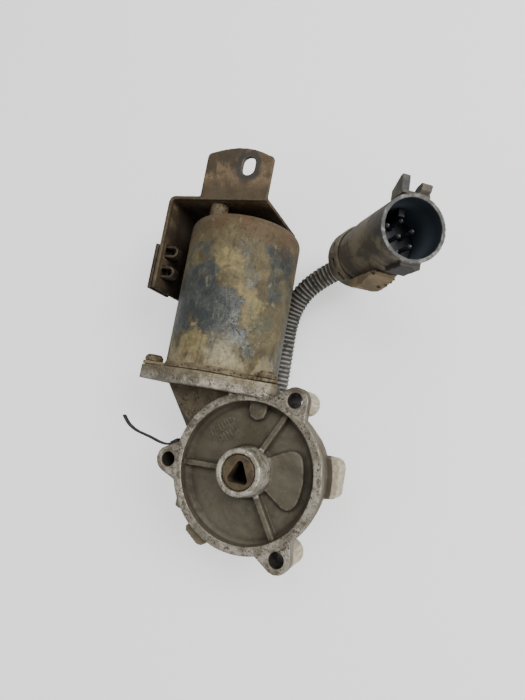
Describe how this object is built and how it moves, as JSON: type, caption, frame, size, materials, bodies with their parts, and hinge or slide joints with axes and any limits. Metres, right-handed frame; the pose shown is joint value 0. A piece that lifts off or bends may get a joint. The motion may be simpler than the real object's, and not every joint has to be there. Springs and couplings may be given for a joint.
{
  "type": "electric shift gearmotor",
  "caption": "Worm gearmotor with round mounting face and ears, socketed output sleeve, side motor can under a stamped bracket, and corrugated conduit to a round connector.",
  "frame": {"origin": "on the output shaft axis, at the flat back of the rear cover on which the part lies", "axes": "+Z along the output shaft out of the mounting face, +Y along the motor can away from the gear case, +X to the right seen from the mounting face"},
  "size_m": [0.1484, 0.1997, 0.0837],
  "materials": {
    "cast_aluminium": "weathered casting",
    "cover_metal": "dull",
    "rusty_steel": "rusty",
    "dusty_steel": "dusty, worn",
    "dark_steel": "rusty, dark",
    "bright_steel": "machined",
    "bronze": "sintered",
    "wheel_plastic": "moulded",
    "copper": "enamelled wire",
    "laminate": "laminated",
    "ferrite": "matt",
    "board": "circuit board",
    "carbon": "matt",
    "connector_plastic": "dusty",
    "inner_plastic": "satin",
    "black_rubber": "matt",
    "conduit_plastic": "dusty"
  },
  "bodies": {
    "housing": {"bracket_nut_1": "dusty_steel", "bracket_nut_2": "dusty_steel", "bracket_post_1": "dusty_steel", "bracket_post_2": "dusty_steel", "brush_1": "carbon", "brush_2": "carbon", "brush_plate": "inner_plastic", "brush_spring_1": "bright_steel", "brush_spring_2": "bright_steel", "cable_tie": "black_rubber", "can_bracket": "dark_steel", "clip_plate": "rusty_steel", "conduit": "conduit_plastic", "connector_clip": "connector_plastic", "connector_collar": "connector_plastic", "connector_latch": "connector_plastic", "connector_shell": "connector_plastic", "contact_track_1": "bronze", "contact_track_2": "bronze", "contact_track_3": "bronze", "cover_gasket": "black_rubber", "cover_screw_1": "dark_steel", "cover_screw_2": "dark_steel", "cover_screw_3": "dark_steel", "cover_screw_4": "dark_steel", "encoder_board": "board", "flange_screw_1": "dusty_steel", "flange_screw_2": "dusty_steel", "front_bearing": "bright_steel", "gear_case": "cast_aluminium", "harness_grommet": "black_rubber", "hub_bushing": "bronze", "magnet_1": "ferrite", "magnet_2": "ferrite", "motor_can": "dusty_steel", "pin_1": "bright_steel", "pin_2": "bright_steel", "pin_3": "bright_steel", "pin_4": "bright_steel", "pin_5": "bright_steel", "pin_6": "bright_steel", "pin_7": "bright_steel", "pin_block": "inner_plastic", "rear_bushing": "bronze", "rear_bushing_motor": "bronze", "rear_cover": "cover_metal", "thrust_screw": "dark_steel", "thrust_washer": "bright_steel"},
    "output": {"output_sleeve": "rusty_steel", "worm_wheel": "wheel_plastic", "encoder_rotor": "inner_plastic", "retaining_ring": "bright_steel"},
    "armature": {"armature_shaft": "bright_steel", "armature_core": "laminate", "windings": "copper", "commutator": "copper"}
  },
  "joints": [
    {"name": "armature_spin", "type": "hinge", "parent": "housing", "child": "armature", "pos_m": [-0.03, 0, 0.035], "axis": [0, 1, 0], "continuous": true},
    {"name": "output_turn", "type": "hinge", "parent": "housing", "child": "output", "pos_m": [0, 0, 0.03], "axis": [0, 0, 1], "continuous": true}
  ],
  "couplings": [
    {"joint": "output_turn", "follows": "armature_spin", "ratio": 0.020833}
  ]
}
